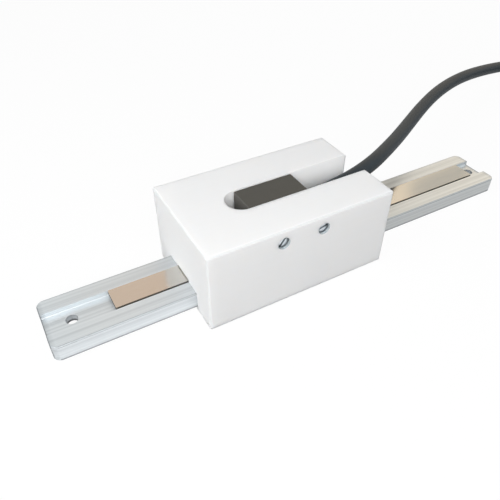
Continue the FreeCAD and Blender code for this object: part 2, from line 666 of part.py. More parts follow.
def make_connector():
    forward = (0, -1, 0)

    def at(distance):
        return (TAIL_X, f"({CONNECTOR_Y} - ({distance}))", NUT_RADIUS)

    grip_start = "sizes.shell_taper"
    nose_start = f"{grip_start} + sizes.shell_grip"
    nose_end = f"{nose_start} + sizes.nose_length"
    shell_radius = "(sizes.nose_radius + sizes.shell_shoulder)"
    shell = fuse("shell_solid", [
        cone("shell_back", f"{CABLE_RADIUS} + sizes.shell_back_wall", shell_radius,
             "sizes.shell_taper", at("0"), forward),
        cylinder("shell_grip_round", shell_radius, "sizes.shell_grip", at(grip_start), forward),
        cylinder("shell_nose", "sizes.nose_radius", "sizes.nose_length", at(nose_start), forward),
    ])
    bore = cylinder("shell_bore", f"{CABLE_RADIUS} + sizes.cable_play", "sizes.shell_bore_depth",
                    at("0"), forward)
    keep(cut("connector_shell", shell, bore))
    keep(cylinder("contact_insert", "sizes.nose_radius - sizes.insert_step", "sizes.insert_thick",
                  at(nose_end), forward))

    pin_start = f"{nose_end} + sizes.insert_thick"
    along = f"({CONNECTOR_Y} - ({pin_start}))"
    pins = []
    for index in range(PIN_COUNT):
        angle = 360 * (index + 0.5) / PIN_COUNT
        across = f"{TAIL_X} + sizes.pin_circle * cos({angle} deg)"
        level = f"{NUT_RADIUS} + sizes.pin_circle * sin({angle} deg)"
        pins.append(cylinder(f"pin_{index}", "sizes.pin_diameter / 2", "sizes.pin_length",
                             (across, along, level), forward))
    keep(group("contact_pins", pins))

    nut_start = f"{nose_start} + sizes.nut_gap"
    nut_length = ("(sizes.nose_length - sizes.nut_gap + sizes.insert_thick"
                  " + sizes.pin_length + sizes.pin_guard)")
    nut = fuse("nut_solid", [
        cylinder("nut_grip_round", NUT_RADIUS, "sizes.nut_grip", at(nut_start), forward),
        cylinder("nut_thread_round", f"{NUT_BORE} + sizes.thread_wall", nut_length, at(nut_start),
                 forward),
    ])
    keep(cut("coupling_nut", nut, cylinder("nut_bore", NUT_BORE, nut_length, at(nut_start), forward)))


make_guide_rail()
make_tape()
make_guide_carriage()
make_set_screws()
make_sensor_housing()
make_electronics()
make_cable_exit()
make_cable()
make_connector()
doc.recompute()

for item in doc.Objects:
    if "Invalid" in item.State or "Error" in item.State:
        raise RuntimeError(f"{item.Label} failed: {item.State}")
os.makedirs("parts", exist_ok=True)
for part in parts:
    shape = part.Shape
    if shape.isNull() or not shape.isValid():
        raise RuntimeError(f"{part.Label} has no valid shape")
    shape.exportStep(f"parts/{part.Label}.step")
    bounds = shape.optimalBoundingBox(False)
    print(f"{part.Label}: {len(shape.Solids)} solid(s), {shape.Volume:.1f} mm3, "
          f"x {bounds.XMin:.2f}..{bounds.XMax:.2f}, y {bounds.YMin:.2f}..{bounds.YMax:.2f}, "
          f"z {bounds.ZMin:.2f}..{bounds.ZMax:.2f}")
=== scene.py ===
# %% [markdown]
# A magnetic linear encoder, dressed on its imported model.
# A white plastic carriage rides on an aluminium rail and holds a dark sensor head over a
# magnetic tape. The rail, the tape, the carriage and the sensor head keep the shapes that
# the imported model gives them, and this lesson adds their finishes. The cable, its strap and
# its connector's grip and nut are modelled here, because they need more detail than a solid
# has. Loading comes first.

import json
import math

import bpy
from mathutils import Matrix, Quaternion, Vector


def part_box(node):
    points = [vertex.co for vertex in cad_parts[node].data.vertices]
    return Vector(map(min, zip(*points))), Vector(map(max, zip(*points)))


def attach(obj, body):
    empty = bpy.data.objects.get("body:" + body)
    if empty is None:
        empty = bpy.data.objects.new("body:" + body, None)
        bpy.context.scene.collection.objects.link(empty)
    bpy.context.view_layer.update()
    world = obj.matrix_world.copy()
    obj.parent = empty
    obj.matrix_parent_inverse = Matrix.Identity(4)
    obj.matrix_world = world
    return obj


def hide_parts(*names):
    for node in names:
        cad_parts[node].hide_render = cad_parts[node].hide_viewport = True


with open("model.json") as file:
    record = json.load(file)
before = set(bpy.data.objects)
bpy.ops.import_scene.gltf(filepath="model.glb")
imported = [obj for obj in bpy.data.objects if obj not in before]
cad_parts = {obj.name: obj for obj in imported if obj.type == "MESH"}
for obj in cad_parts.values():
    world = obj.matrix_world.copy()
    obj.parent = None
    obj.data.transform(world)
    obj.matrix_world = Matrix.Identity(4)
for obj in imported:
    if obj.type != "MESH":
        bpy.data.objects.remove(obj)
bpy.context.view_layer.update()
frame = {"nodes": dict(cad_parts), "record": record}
bpy.ops.object.select_all(action="DESELECT")

# %% [markdown]
# The camera stands where the photographer stood: to the left of the carriage, in front of
# the rail and about 15 cm above the table. Its place and lens were worked out from the
# corners of the carriage and the lines of the rail. An empty that the camera tracks would
# also aim it, but turning a direction into a rotation once is simpler to read.

# %% Camera
camera_data = bpy.data.cameras.new("camera")
camera_data.sensor_width = 36.0
camera_data.lens = 37.637
camera_data.clip_start = 0.005
camera = bpy.data.objects.new("camera", camera_data)
bpy.context.scene.collection.objects.link(camera)
camera.location = (-0.10241, -0.14134, 0.15049)
aim = Vector((-0.0230, 0.0, 0.00846))
towards_aim = aim - camera.location
camera.rotation_euler = towards_aim.to_track_quat("-Z", "Y").to_euler()
bpy.context.scene.camera = camera
print(f"camera {towards_aim.length:.3f} m from its aim")

# %% [markdown]
# The cable is one length of round, rather stiff lead. It leaves the sensor head, runs out of
# the slot's open end, crosses the rail in a low arch and comes down to the table. The rest is
# put away in a coil of three turns by two layers. A tube could be swept along arcs, but a real
# lead has no arcs and straights: a single smooth spline looks softer, so the route's points
# are the control points of one NURBS line with a round bevel. The coil's points come from a
# loop. A quadratic spline runs a little inside its control points, so the loop puts them
# further out by the same share.

# %% Cable route
CABLE_RADIUS = 0.00335
ROUTE = [
    (-0.0039, 0.0003, 0.0250),
    (0.0119, 0.0003, 0.0250),
    (0.0275, 0.0015, 0.0266),
    (0.0420, 0.0054, 0.0274),
    (0.0580, 0.0138, 0.0260),
    (0.0730, 0.0224, 0.0244),
    (0.0890, 0.0319, 0.0234),
    (0.1070, 0.0423, 0.0228),
    (0.1270, 0.0525, 0.0220),
    (0.1490, 0.0617, 0.0204),
    (0.1720, 0.0690, 0.0178),
    (0.1950, 0.0745, 0.0144),
    (0.2180, 0.0784, 0.0108),
    (0.2410, 0.0807, 0.0074),
    (0.2630, 0.0817, 0.0050),
    (0.2870, 0.0817, 0.00415),
]
TAIL = [
    (0.3277, 0.0410, 0.01085),
    (0.3277, 0.0320, 0.0105),
    (0.3277, 0.0200, 0.0071),
    (0.3277, 0.0050, 0.0071),
]
print(f"{len(ROUTE)} points before the coil and {len(TAIL)} after it")

# %% Turns of the coil
coil_low, coil_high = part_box("cable_coil")
coil_centre = (coil_low + coil_high) / 2
TURN_PITCH = 0.0068
MIDDLE_TURN = 0.0340
INNER_TURN = MIDDLE_TURN - TURN_PITCH
LOWER_LAYER = 0.00415
POINTS_PER_TURN = 16
TURNS = 5.25
CROSSING_START = 0.625
CROSSING_LENGTH = 0.25
CLIMB_EARLY = 0.6
CLIMB_LENGTH = 1.2
OUTWARDS_EARLY = 1.2


def eased(share):
    """A step from 0 to 1 that starts and stops softly."""
    share = min(max(share, 0.0), 1.0)
    return share * share * (3.0 - 2.0 * share)


def passed(turn, number, early):
    """How far the lead has moved over in the quarter turn where turn `number` changes place."""
    quarter = (turn - number - CROSSING_START) / CROSSING_LENGTH
    return min(max(quarter + early, 0.0), 1.0)


def coil_point(turn):
    """Place of a control point after some turns: inwards below, up, and outwards above."""
    inwards = passed(turn, 0, 0.0) + passed(turn, 1, 0.0)
    outwards = passed(turn, 3, OUTWARDS_EARLY) + passed(turn, 4, OUTWARDS_EARLY)
    climb = (turn - 2 - CROSSING_START) / CROSSING_LENGTH
    level = LOWER_LAYER + TURN_PITCH * eased((climb + CLIMB_EARLY) / CLIMB_LENGTH)
    radius = INNER_TURN + TURN_PITCH * (2.0 - inwards + outwards)
    radius = radius / math.cos(math.pi / POINTS_PER_TURN)
    angle = math.radians(90.0 - 360.0 * turn)
    across = coil_centre.x + radius * math.cos(angle)
    away = coil_centre.y + radius * math.sin(angle)
    return (across, away, level)


steps = int(TURNS * POINTS_PER_TURN)
coil = [coil_point((step + 0.5) / POINTS_PER_TURN) for step in range(steps)]
print(f"{TURNS} turns of the coil from {len(coil)} points")

# %% Cable line
cable_line = bpy.data.curves.new("sensor_lead", "CURVE")
cable_line.dimensions = "3D"
spline = cable_line.splines.new("NURBS")
route_points = ROUTE + coil + TAIL
spline.points.add(len(route_points) - 1)
for point, place in zip(spline.points, route_points):
    point.co = (*place, 1.0)
    point.radius = CABLE_RADIUS
spline.order_u = 3
spline.use_endpoint_u = True
spline.resolution_u = 6
cable_line.bevel_depth = 1.0
cable_line.bevel_resolution = 7
cable_line.use_fill_caps = True
cable = bpy.data.objects.new("sensor_lead", cable_line)
bpy.context.scene.collection.objects.link(cable)
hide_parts("sensor_cable", "cable_coil", "cable_tail")
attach(cable, "carriage")
print(f"lead of {len(route_points)} control points, {2000 * CABLE_RADIUS:.1f} mm thick")

# %% [markdown]
# The other modelled pieces are made with the tools that a person at the screen would use.
# Each one starts from a primitive at its own size and place. Listing every corner in code
# would also make them, but it would hide the steps. Four helpers keep the cells short: one
# takes the new primitive into edit mode, two choose faces or edges by their place, and the
# last merges doubles, turns the faces outwards and rounds the edges a little.

# %% Helpers for modelling
SHARP_ANGLE = math.radians(35.0)
MERGE_DISTANCE = 0.000005


def start_piece(name):
    """Name the new primitive, put its place into its mesh and enter edit mode."""
    piece = bpy.context.active_object
    piece.name = name
    piece.data.name = name
    bpy.ops.object.transform_apply(location=True, rotation=True, scale=True)
    bpy.ops.object.mode_set(mode="EDIT")
    bpy.ops.mesh.select_mode(type="VERT")
    return piece


def pick_faces(piece, wanted):
    """Select the faces whose centre and normal pass a test, in edit mode, and count them."""
    bpy.ops.mesh.select_all(action="DESELECT")
    bpy.ops.object.mode_set(mode="OBJECT")
    for face in piece.data.polygons:
        face.select = wanted(face.center, face.normal)
    chosen = sum(face.select for face in piece.data.polygons)
    bpy.ops.object.mode_set(mode="EDIT")
    bpy.ops.mesh.select_mode(type="FACE")
    return chosen


def pick_edges(piece, wanted):
    """Select the edges whose two ends pass a test, in edit mode."""
    bpy.ops.mesh.select_all(action="DESELECT")
    bpy.ops.object.mode_set(mode="OBJECT")
    corners = piece.data.vertices
    for edge in piece.data.edges:
        edge.select = wanted(*(corners[corner].co for corner in edge.vertices))
    bpy.ops.object.mode_set(mode="EDIT")
    bpy.ops.mesh.select_mode(type="EDGE")


def finish_piece(piece, edge_width):
    """Merge, turn the faces outwards, leave edit mode and soften the edges."""
    bpy.ops.mesh.select_all(action="SELECT")
    bpy.ops.mesh.remove_doubles(threshold=MERGE_DISTANCE)
    bpy.ops.mesh.normals_make_consistent(inside=False)
    bpy.ops.object.mode_set(mode="OBJECT")
    soften = piece.modifiers.new("soft_edges", "BEVEL")
    soften.width = edge_width
    soften.segments = 2
    soften.limit_method = "ANGLE"
    soften.angle_limit = SHARP_ANGLE
    bpy.ops.object.modifier_apply(modifier=soften.name)
    bpy.ops.object.shade_smooth_by_angle(angle=SHARP_ANGLE)
    bpy.ops.object.select_all(action="DESELECT")
    print(f"{piece.name}: {len(piece.data.polygons)} faces")


print("helpers ready")

# %% [markdown]
# The strap round the coil is a nylon tie: a domed band with round corners, a small locking
# head and a cut tail. The band is a block with all its edges rounded, opened at both ends,
# and given its thickness by Solidify. That keeps the wall even round the corners, which
# cutting a hole through a block would not. Its rims curve inwards and sink up to 0.8 mm into
# the turns of the cable.

# %% Strap band
STRAP_THICK = 0.0008
STRAP_CORNER = 0.0024
strap_low, strap_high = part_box("coil_tie")
strap_size = strap_high - strap_low
strap_middle = (strap_low + strap_high) / 2
bpy.ops.mesh.primitive_cube_add(size=1.0, location=strap_middle, scale=strap_size)
strap = start_piece("nylon_tie")
pick_edges(strap, lambda start, end: True)
bpy.ops.mesh.bevel(offset=STRAP_CORNER, segments=6, affect="EDGES")
pick_faces(strap, lambda centre, normal: abs(normal.x) > 0.9)
bpy.ops.mesh.delete(type="FACE")
bpy.ops.mesh.select_all(action="SELECT")
bpy.ops.mesh.normals_make_consistent(inside=False)
bpy.ops.object.mode_set(mode="OBJECT")
wall = strap.modifiers.new("band_wall", "SOLIDIFY")
wall.thickness = STRAP_THICK
wall.offset = -1.0
bpy.ops.object.modifier_apply(modifier=wall.name)
bpy.ops.object.mode_set(mode="EDIT")
finish_piece(strap, edge_width=0.0001)

# %% Locking head of the strap
HEAD_SIZE = (0.0066, 0.0036, 0.0052)
HEAD_OUTSIDE = 0.0016
HEAD_LEVEL = 0.0066
HEAD_RIM = 0.0011
HEAD_RECESS = 0.0016
head_place = (strap_low.x + strap_size.x / 2, strap_high.y + HEAD_OUTSIDE, HEAD_LEVEL)
bpy.ops.mesh.primitive_cube_add(size=1.0, location=head_place, scale=HEAD_SIZE)
head = start_piece("tie_head")
for side in (1.0, -1.0):
    pick_faces(head, lambda centre, normal: normal.z * side > 0.9)
    bpy.ops.mesh.inset(thickness=HEAD_RIM)
    inwards = (0.0, 0.0, -HEAD_RECESS * side)
    bpy.ops.mesh.extrude_region_move(TRANSFORM_OT_translate={"value": inwards})
finish_piece(head, edge_width=0.0004)

# %% Cut tail of the strap
STUB_SIZE = (0.0042, 0.0009, 0.0040)
STUB_ABOVE_HEAD = 0.0018
STUB_BENDS = [(0.0, 0.0006, 0.0016), (0.0, 0.0009, 0.0012)]
stub_place = (head_place[0], head_place[1], head_place[2] + STUB_ABOVE_HEAD)
bpy.ops.mesh.primitive_cube_add(size=1.0, location=stub_place, scale=STUB_SIZE)
stub = start_piece("tie_tail")
pick_faces(stub, lambda centre, normal: normal.z > 0.9)
for bend in STUB_BENDS:
    bpy.ops.mesh.extrude_region_move(TRANSFORM_OT_translate={"value": bend})
finish_piece(stub, edge_width=0.00015)

# %% Join the strap
for piece in (head, stub, strap):
    piece.select_set(True)
bpy.context.view_layer.objects.active = strap
bpy.ops.object.join()
bpy.ops.object.select_all(action="DESELECT")
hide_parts("coil_tie")
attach(strap, "carriage")
print(f"{strap.name}: {len(strap.data.polygons)} faces with its head and tail")

# %% [markdown]
# The connector's shell is a moulded grip with ribs, and its nut is a turned sleeve with a
# plain raised band. Both are round, so each one grows from a circle that is extruded and
# resized ring by ring, like a profile on a lathe. Spinning a drawn profile would give the
# same shape, but the rings keep the number of sides in hand, and columns of faces can then be
# raised as ribs. Until a piece is finished its faces point inwards, so a negative depth
# raises them.

# %% Turned shapes
shell_low, shell_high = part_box("connector_shell")
shell_middle = (shell_low + shell_high) / 2
NOSE = Vector((shell_middle.x, shell_low.y, shell_middle.z))


def turned_piece(name, sides, rings):
    """Extrude a circle along the connector through rings: (distance behind its nose, radius)."""
    place, radius = rings[0]
    centre = NOSE + Vector((0.0, place, 0.0))
    bpy.ops.mesh.primitive_circle_add(
        vertices=sides, radius=radius, location=centre, rotation=(math.pi / 2, 0.0, 0.0))
    piece = start_piece(name)
    bpy.ops.mesh.select_all(action="SELECT")
    for next_place, next_radius in rings[1:]:
        move = (0.0, next_place - place, 0.0)
        bpy.ops.mesh.extrude_region_move(TRANSFORM_OT_translate={"value": move})
        centre = NOSE + Vector((0.0, next_place, 0.0))
        grow = next_radius / radius
        bpy.ops.transform.resize(value=(grow, 1.0, grow), center_override=centre)
        place, radius = next_place, next_radius
    return piece


def column(centre, sides):
    """Number of the column of faces that a face centre lies in."""
    angle = math.atan2(centre.z - NOSE.z, centre.x - NOSE.x)
    return int(angle / math.tau * sides + sides)


def distance_from_axis(centre):
    return math.hypot(centre.x - NOSE.x, centre.z - NOSE.z)


print("connector's nose at", [round(number, 4) for number in NOSE])

# %% Connector grip
GRIP_SIDES = 48
GRIP_RADIUS = 0.0062
CABLE_HOLE = 0.00341
NOSE_RADIUS = 0.0048
RIBS_FROM = 0.0136
RIBS_TO = 0.0268
RIB_RIM = 0.00022
RIB_HEIGHT = 0.0004
BOOT_RINGS = 4
BOOT_START = 0.0368
BOOT_STEP = 0.0022
back = [(0.0320, CABLE_HOLE), (0.0380, CABLE_HOLE), (0.0380, 0.0043), (0.0377, 0.0047)]
taper = []
for ring in range(BOOT_RINGS):
    place = BOOT_START - BOOT_STEP * ring
    radius = 0.0049 + 0.0003 * ring
    taper += [(place, radius), (place - 0.0003, radius - 0.00045)]
    taper += [(place - 0.0009, radius - 0.00035), (place - 0.0012, radius + 0.0002)]
front = [(0.0278, 0.0060), (0.0274, GRIP_RADIUS), (RIBS_TO, GRIP_RADIUS)]
front += [(RIBS_FROM, GRIP_RADIUS), (0.0126, GRIP_RADIUS), (0.0120, 0.0059)]
front += [(0.0120, NOSE_RADIUS), (0.0003, NOSE_RADIUS), (0.0, 0.0045)]
grip = turned_piece("connector_grip", GRIP_SIDES, back + taper + front)
bpy.ops.mesh.edge_face_add()
bottom = NOSE.y + back[0][0]
pick_edges(grip, lambda start, end: max(abs(start.y - bottom), abs(end.y - bottom)) < 1e-6)
bpy.ops.mesh.edge_face_add()
rib_faces = pick_faces(grip, lambda centre, normal: (
    RIBS_FROM < centre.y - NOSE.y < RIBS_TO
    and distance_from_axis(centre) > GRIP_RADIUS - 0.0001
    and column(centre, GRIP_SIDES) % 4 < 2))
bpy.ops.mesh.inset(thickness=RIB_RIM, depth=-RIB_HEIGHT)
finish_piece(grip, edge_width=0.0001)
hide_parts("connector_shell")
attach(grip, "carriage")
print(f"{rib_faces // 2} ribs on the grip")

# %% Coupling nut
NUT_SIDES = 72
NUT_RADIUS = 0.0071
NUT_BORE = 0.00486
NUT_BACK = 0.0117
BAND_FROM = 0.0032
BAND_TO = 0.0108
BAND_RIM = 0.00008
BAND_HEIGHT = 0.0003
THREAD_TURNS = 9
THREAD_START = 0.0016
THREAD_STEP = 0.001
THREAD_ROOT = 0.0054
THREAD_CREST = 0.0060
nut_rings = [(NUT_BACK, NUT_BORE), (NUT_BACK, 0.0066), (0.0113, NUT_RADIUS)]
nut_rings += [(BAND_TO, NUT_RADIUS), (BAND_FROM, NUT_RADIUS), (0.0027, NUT_RADIUS)]
nut_rings += [(0.0022, 0.0066), (0.0022, THREAD_ROOT)]
for thread in range(THREAD_TURNS):
    root = THREAD_START - THREAD_STEP * thread
    nut_rings += [(root, THREAD_ROOT), (root - 0.0004, THREAD_CREST)]
    nut_rings += [(root - 0.00055, THREAD_CREST), (root - 0.00095, THREAD_ROOT)]
nut_rings += [(-0.0076, 0.0055), (-0.0078, 0.0053), (-0.0078, NUT_BORE), (NUT_BACK, NUT_BORE)]
nut = turned_piece("knurled_nut", NUT_SIDES, nut_rings)
bpy.ops.mesh.select_all(action="SELECT")
bpy.ops.mesh.remove_doubles(threshold=MERGE_DISTANCE)
band_faces = pick_faces(nut, lambda centre, normal: (
    BAND_FROM < centre.y - NOSE.y < BAND_TO
    and distance_from_axis(centre) > NUT_RADIUS - 0.0001))
bpy.ops.mesh.inset(thickness=BAND_RIM, depth=-BAND_HEIGHT)
finish_piece(nut, edge_width=0.00006)
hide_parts("coupling_nut")
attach(nut, "nut")
print(f"{band_faces} faces in the nut's raised band")

# %% [markdown]
# A lead is soft, though its spline stands still here.

print("cable made with its strap and its connector")

# %% [markdown]
# Finishes are node materials. Drawing their sums as nodes takes many lines, so one small
# class stands for an output socket: adding or multiplying two of them adds a Math node.
# Another class holds the material: one method adds any other node, and one feeds the shader.
# Patterns read Object coordinates, which are metres here, so a scale of 1000 gives features
# of about a millimetre.

# %% Shader sums
class Wire:
    """An output socket of a finish. Sums, products and comparisons add Math nodes."""

    def __init__(self, finish, socket):
        self.finish = finish
        self.socket = socket

    def math(self, operation, first, second):
        return self.finish.node("ShaderNodeMath", {"operation": operation}, {0: first, 1: second})

    def __add__(self, other):
        return self.math("ADD", self, other)

    def __radd__(self, other):
        return self.math("ADD", other, self)

    def __sub__(self, other):
        return self.math("SUBTRACT", self, other)

    def __rsub__(self, other):
        return self.math("SUBTRACT", other, self)

    def __mul__(self, other):
        return self.math("MULTIPLY", self, other)

    def __rmul__(self, other):
        return self.math("MULTIPLY", other, self)

    def __gt__(self, other):
        return self.math("GREATER_THAN", self, other)

    def __abs__(self):
        return self.math("ABSOLUTE", self, 0.0)

    def sine(self):
        return self.math("SINE", self, 0.0)

    def or_more(self, other):
        return self.math("MAXIMUM", self, other)


class Finish:
    """A material whose constant sockets are set at once and whose nodes are added after."""

    def __init__(self, name, constants):
        self.material = bpy.data.materials.new(name)
        self.material.use_nodes = True
        self.tree = self.material.node_tree
        self.shader = self.tree.nodes["Principled BSDF"]
        for socket, number in constants.items():
            self.shader.inputs[socket].default_value = number
        self.places = self.node("ShaderNodeTexCoord", output="Object")

    def node(self, kind, settings=None, inputs=None, output=0):
        """Add a node: its settings first, then the values or links of its sockets."""
        made = self.tree.nodes.new(kind)
        for setting, chosen in (settings or {}).items():
            setattr(made, setting, chosen)
        for socket, source in (inputs or {}).items():
            if isinstance(source, Wire):
                self.tree.links.new(source.socket, made.inputs[socket])
            else:
                made.inputs[socket].default_value = source
        return Wire(self, made.outputs[output])

    def feed(self, socket, wire):
        self.tree.links.new(wire.socket, self.shader.inputs[socket])


print("shader helpers ready")

# %% [markdown]
# Most finishes share a few steps: stretch the coordinates, read a noise, mix two colours by
# it, and raise a bump from it. They could be repeated in every material, but written once
# here they let each finish below read like its description.

# %% Shared steps of the finishes
def colour(red, green, blue):
    return (red, green, blue, 1.0)


def stretched(finish, along, across, up):
    """Object coordinates scaled to so many features per metre in each direction."""
    scale = (along, across, up)
    return finish.node("ShaderNodeMapping", {}, {"Vector": finish.places, "Scale": scale})


def noise(finish, places, detail, scale=1.0):
    sockets = {"Vector": places, "Scale": scale, "Detail": detail}
    return finish.node("ShaderNodeTexNoise", {}, sockets)


def between(finish, factor, first, second):
    sockets = {0: factor, 6: first, 7: second}
    return finish.node("ShaderNodeMix", {"data_type": "RGBA"}, sockets, output=2)


def spread(finish, wire, low, high):
    """Stretch the range from low to high over 0 to 1, clipped at both ends."""
    sockets = {"Value": wire, "From Min": low, "From Max": high}
    return finish.node("ShaderNodeMapRange", {"clamp": True}, sockets)


def raise_bump(finish, height, distance, strength):
    sockets = {"Height": height, "Distance": distance, "Strength": strength}
    finish.feed("Normal", finish.node("ShaderNodeBump", {}, sockets))


def dress(finish, *node_names):
    """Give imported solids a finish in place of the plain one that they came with."""
    for name in node_names:
        for place in frame["nodes"][name].material_slots:
            place.material = finish.material
    print(f"{finish.material.name} on {', '.join(node_names)}")


print("shared steps ready")

# %% [markdown]
# The carriage is milled from white acetal. Close up it is not one flat white: the cutter
# leaves very fine parallel marks, the stock is faintly cloudy, and handling leaves dull
# patches. A glossy white would look like glazed pottery, so the roughness sits near the
# middle and the marks move it up and down a little. Light also goes a little way into the
# plastic, which subsurface scattering shows.

# %% Milled white plastic
milled = Finish("milled_white_plastic", {
    "Specular IOR Level": 0.1,
    "Subsurface Weight": 1.0,
    "Subsurface Scale": 0.002,
    "Subsurface Radius": (1.0, 0.97, 0.94),
})
cutter = noise(milled, stretched(milled, 35.0, 1900.0, 1900.0), detail=1.0)
cloud = noise(milled, milled.places, scale=45.0, detail=3.0)
handled = spread(milled, noise(milled, milled.places, scale=70.0, detail=4.0), 0.52, 0.72)
pale = between(milled, cloud, colour(0.94, 0.95, 0.952), colour(0.962, 0.97, 0.972))
dulled = 0.05 * handled + 0.05 * spread(milled, cutter, 0.35, 0.75)
milled_face = between(milled, dulled, pale, colour(0.80, 0.80, 0.79))
milled.feed("Roughness", 0.48 + 0.10 * cutter + 0.12 * handled)
raise_bump(milled, cutter, 0.000012, 0.6)
print("cutter marks, cloud and dull patches in the white plastic")

# %% [markdown]
# The carriage's rounded edges are greyed. This is mostly painted shade that tones down the
# light which they catch, and partly handling wear. A texture could hold it, but that needs a
# map. Most faces point straight up or straight to a side, and an edge points between them, so
# the way that the surface faces finds the top edges and the outer corners. The slot's round
# end also points between two sides, and its place leaves it out.

# %% Painted shade on the carriage's edges
def facing(finish, axis):
    """How far a spot's surface faces along an axis, from -1 to 1."""
    normal = finish.node("ShaderNodeTexCoord", output="Normal")
    return finish.node("ShaderNodeSeparateXYZ", {}, {"Vector": normal}, output=axis)


def spot(finish, axis):
    """A spot's place along an axis, in metres."""
    return finish.node("ShaderNodeSeparateXYZ", {}, {"Vector": finish.places}, output=axis)


EDGE_SHADE = 0.75
OUTER_CORNER = 0.002
carriage_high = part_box("guide_carriage")[1]
milled_y = spot(milled, "Y")
facing_x = facing(milled, "X")
facing_y = facing(milled, "Y")
facing_z = facing(milled, "Z")
tilt_up = facing_z * facing_z
tilt_corner = facing_x * facing_x * facing_y * facing_y
top_edge = spread(milled, tilt_up, 0.02, 0.15) * (1.0 - spread(milled, tilt_up, 0.85, 0.98))
outside = abs(milled_y) > carriage_high.y - OUTER_CORNER
corner_edge = spread(milled, tilt_corner, 0.02, 0.15) * outside
# Painted shade: the edges turn grey to tone down the light that they catch, partly also wear.
carriage_edge_shade = EDGE_SHADE * top_edge.or_more(corner_edge)
face_and_edge_shade = between(milled, carriage_edge_shade, milled_face, colour(0.70, 0.71, 0.71))
print(f"edges dulled by {EDGE_SHADE}")

# %% [markdown]
# The holes of the set screws are tapped, and little light reaches their threads. A modelled
# thread would be far finer than the picture can show, so painted shade on the wall of each
# hole stands for it: grey, with painted rings that are darker and paler once in every turn
# of the thread. One circle serves both holes, because the coordinates are folded at the
# middle between them.

# %% Painted shade in the tapped holes of the carriage
def off_pair(place, middle, half_spacing):
    """Distance along an axis from the nearer of two like features, folded at their middle."""
    return abs(place - middle) - half_spacing


def in_circle(across, up, radius):
    """1 where two offsets lie inside a circle, 0 outside it."""
    return 1.0 - (across * across + up * up > radius ** 2)


THREAD_PITCH = 0.0008
HOLE_WALL = 1.03
screws_low, screws_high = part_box("sensor_set_screws")
screws_middle = (screws_low + screws_high) / 2.0
SCREW_RADIUS = (screws_high.z - screws_low.z) / 2.0
SCREW_OFFSET = (screws_high.x - screws_low.x) / 2.0 - SCREW_RADIUS
hole_x = off_pair(spot(milled, "X"), screws_middle.x, SCREW_OFFSET)
hole_z = spot(milled, "Z") - screws_middle.z
near_side = 1.0 - (milled_y > screws_high.y)
# Painted shade inside the tapped holes, with painted rings that stand for the thread's shade.
painted_hole_shade = in_circle(hole_x, hole_z, HOLE_WALL * SCREW_RADIUS) * near_side
thread_turn = milled_y * (2.0 * math.pi / THREAD_PITCH)
painted_thread_rings = 0.75 + 0.25 * thread_turn.sine()
milled.feed("Base Color", between(milled, painted_hole_shade * painted_thread_rings, face_and_edge_shade, colour(0.46, 0.52, 0.55)))
dress(milled, "guide_carriage")

# %% [markdown]
# The rail is extruded aluminium with a clear anodised skin. The die draws fine lines along
# its whole length, so the noise is stretched along X until it becomes streaks. Coarse
# streaks change the shade, and fine ones change the roughness and the bump. The two sawn
# ends have no such lines: there the streaks run up and down instead. An anisotropic shader
# would draw out the highlights too, but an exported model loses what varies it.

# %% Extruded aluminium
extruded = Finish("extruded_aluminium", {"Metallic": 1.0})
die_lines = noise(extruded, stretched(extruded, 7.0, 900.0, 900.0), detail=3.0)
fine_lines = noise(extruded, stretched(extruded, 25.0, 5200.0, 5200.0), detail=2.0)
saw_lines = noise(extruded, stretched(extruded, 3000.0, 2600.0, 120.0), detail=2.0)
ends = abs(facing(extruded, "X")) > 0.8
lines = die_lines * (1.0 - ends) + saw_lines * ends
silver = between(extruded, spread(extruded, lines, 0.34, 0.66),
                 colour(0.615, 0.645, 0.665), colour(0.755, 0.785, 0.805))
print("die lines along the rail and saw lines on its ends")

# %% [markdown]
# The rail is darker towards its sawn ends. Painted shade darkens it along the foot of its
# flange and low in its screw holes, and tones down the light that its top edges catch; these
# places are also rougher. Painting them on the edges by hand would need a map, so they are
# found from the coordinates. The holes' size and places are read from the record.

# %% Darker ends and painted shade along the rail's edges
FLANGE_UNDERSIDE = 0.0022
rail_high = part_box("guide_rail")[1]
rail_x = spot(extruded, "X")
rail_y = spot(extruded, "Y")
rail_z = spot(extruded, "Z")
from_middle = abs(rail_x)
from_axis = abs(rail_y)
sawn_end = spread(extruded, from_middle, rail_high.x - 0.0022, rail_high.x - 0.0002)
sawn_rim = spread(extruded, from_middle, rail_high.x - 0.0005, rail_high.x - 0.0002)
# Darker towards the sawn ends.
rail_end_darkening = 0.25 * sawn_end + 0.45 * sawn_rim
above_flange = spread(extruded, rail_z, FLANGE_UNDERSIDE + 0.0003, FLANGE_UNDERSIDE + 0.0009)
# Painted shadow along the foot of the flange, and painted shade that dims the lit top edges.
flange_foot_shadow = 0.65 * (1.0 - above_flange) * (from_axis > rail_high.y - 0.0002)
rail_top_edge_shade = 0.30 * (rail_z > rail_high.z - 0.0006) * (from_axis > rail_high.y - 0.0006)
print("burrs at the rail's ends and along its flange")

# %% Painted shade in the rail's holes
rail_screws = next(mount for mount in frame["record"]["mounts"] if mount["name"] == "rail_screws")
HOLE_RADIUS = rail_screws["dims"]["hole_r_mm"] / 1000.0
HOLE_OFFSET = rail_screws["dims"]["spacing_x_mm"] / 2000.0
off_hole = off_pair(rail_x, rail_screws["pos_m"][0], HOLE_OFFSET)
drilled = in_circle(off_hole, rail_y, HOLE_WALL * HOLE_RADIUS)
